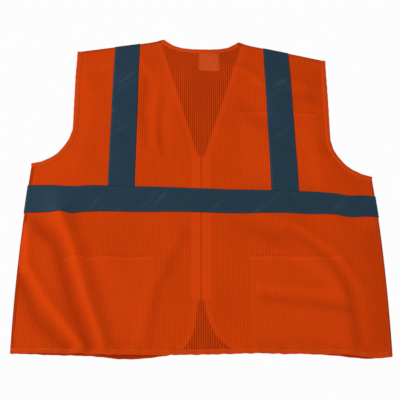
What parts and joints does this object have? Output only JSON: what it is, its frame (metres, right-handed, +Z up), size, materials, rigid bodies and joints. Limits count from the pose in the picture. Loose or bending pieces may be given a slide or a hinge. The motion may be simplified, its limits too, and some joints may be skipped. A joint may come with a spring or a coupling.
{
  "type": "high-visibility mesh vest",
  "caption": "Sleeveless blaze orange mesh safety vest with a zipped V-neck front, slate reflective tapes, bound edges and inside pockets.",
  "frame": {"origin": "midway between the two neck points, at mid depth, where shoulders or a hanger carry the vest", "axes": "+X to the wearer's right, +Y to the wearer's front, +Z up"},
  "size_m": [0.6614, 0.0297, 0.6711],
  "materials": {
    "mesh_cloth": "open hexagonal knitted mesh, dull",
    "binding": "folded woven binding with a row of stitching",
    "seam_tape": "overlocked seam",
    "reflective_tape": "retro-reflective slate grey, faint sheen",
    "pocket_cloth": "plain close weave",
    "zip_cloth": "herringbone zip tape",
    "zip_coil": "nylon coil",
    "zip_metal": "lacquered to match the cloth",
    "zip_plastic": "moulded nylon",
    "label": "thin printed label cloth, blank"
  },
  "bodies": {
    "vest_back": {"back_panel": "mesh_cloth", "back_waist_tape": "reflective_tape", "left_brace_tape_back": "reflective_tape", "right_brace_tape_back": "reflective_tape", "back_neck_binding": "binding", "back_hem_binding": "binding", "left_shoulder_seam": "seam_tape", "left_side_seam": "seam_tape", "left_armhole_binding": "binding", "left_front_panel_side": "mesh_cloth", "left_brace_tape_front_upper": "reflective_tape", "left_waist_tape_front_side": "reflective_tape", "right_shoulder_seam": "seam_tape", "right_side_seam": "seam_tape", "right_armhole_binding": "binding", "right_front_panel_side": "mesh_cloth", "right_brace_tape_front_upper": "reflective_tape", "right_waist_tape_front_side": "reflective_tape", "chest_pocket_side": "pocket_cloth", "chest_pocket_mouth_side": "binding"},
    "left_front": {"left_front_panel_flap": "mesh_cloth", "left_front_edge_binding": "binding", "left_brace_tape_front_lower": "reflective_tape", "left_waist_tape_front_flap": "reflective_tape", "left_lower_pocket": "pocket_cloth", "left_lower_pocket_mouth": "binding", "left_zip_tape": "zip_cloth", "left_zip_row": "zip_coil", "left_zip_top_stop": "zip_metal", "zip_retainer_box": "zip_plastic", "zip_fixed_pin": "zip_plastic"},
    "right_front": {"right_front_panel_flap": "mesh_cloth", "right_front_edge_binding": "binding", "right_brace_tape_front_lower": "reflective_tape", "right_waist_tape_front_flap": "reflective_tape", "right_lower_pocket": "pocket_cloth", "right_lower_pocket_mouth": "binding", "right_zip_tape": "zip_cloth", "right_zip_row": "zip_coil", "right_zip_top_stop": "zip_metal", "chest_pocket_flap": "pocket_cloth", "chest_pocket_mouth_flap": "binding", "zip_insertion_pin": "zip_plastic"},
    "slider": {"zip_slider": "zip_metal"},
    "pull": {"zip_pull": "zip_metal"},
    "label": {"neck_label": "label"}
  },
  "joints": [
    {"name": "left_front_open", "type": "hinge", "parent": "vest_back", "child": "left_front", "pos_m": [-0.076, 0.0132, 0], "axis": [0.3565, 0, 0.9343], "range_deg": [0, 150]},
    {"name": "right_front_open", "type": "hinge", "parent": "vest_back", "child": "right_front", "pos_m": [0.076, 0.0132, 0], "axis": [0.3565, 0, -0.9343], "range_deg": [0, 121]},
    {"name": "zip_slide", "type": "slide", "parent": "left_front", "child": "slider", "axis": [0, 0, -1], "range_m": [0, 0.275]},
    {"name": "zip_pull_swing", "type": "hinge", "parent": "slider", "child": "pull", "pos_m": [0, 0.0158, -0.2705], "axis": [1, 0, 0], "range_deg": [0, 160]},
    {"name": "label_flip", "type": "hinge", "parent": "vest_back", "child": "label", "pos_m": [0.016, -0.0098, -0.031], "axis": [1, 0, 0], "range_deg": [0, 110]}
  ],
  "couplings": [
    {"joint": "right_front_open", "follows": "left_front_open", "ratio": 0.8}
  ]
}
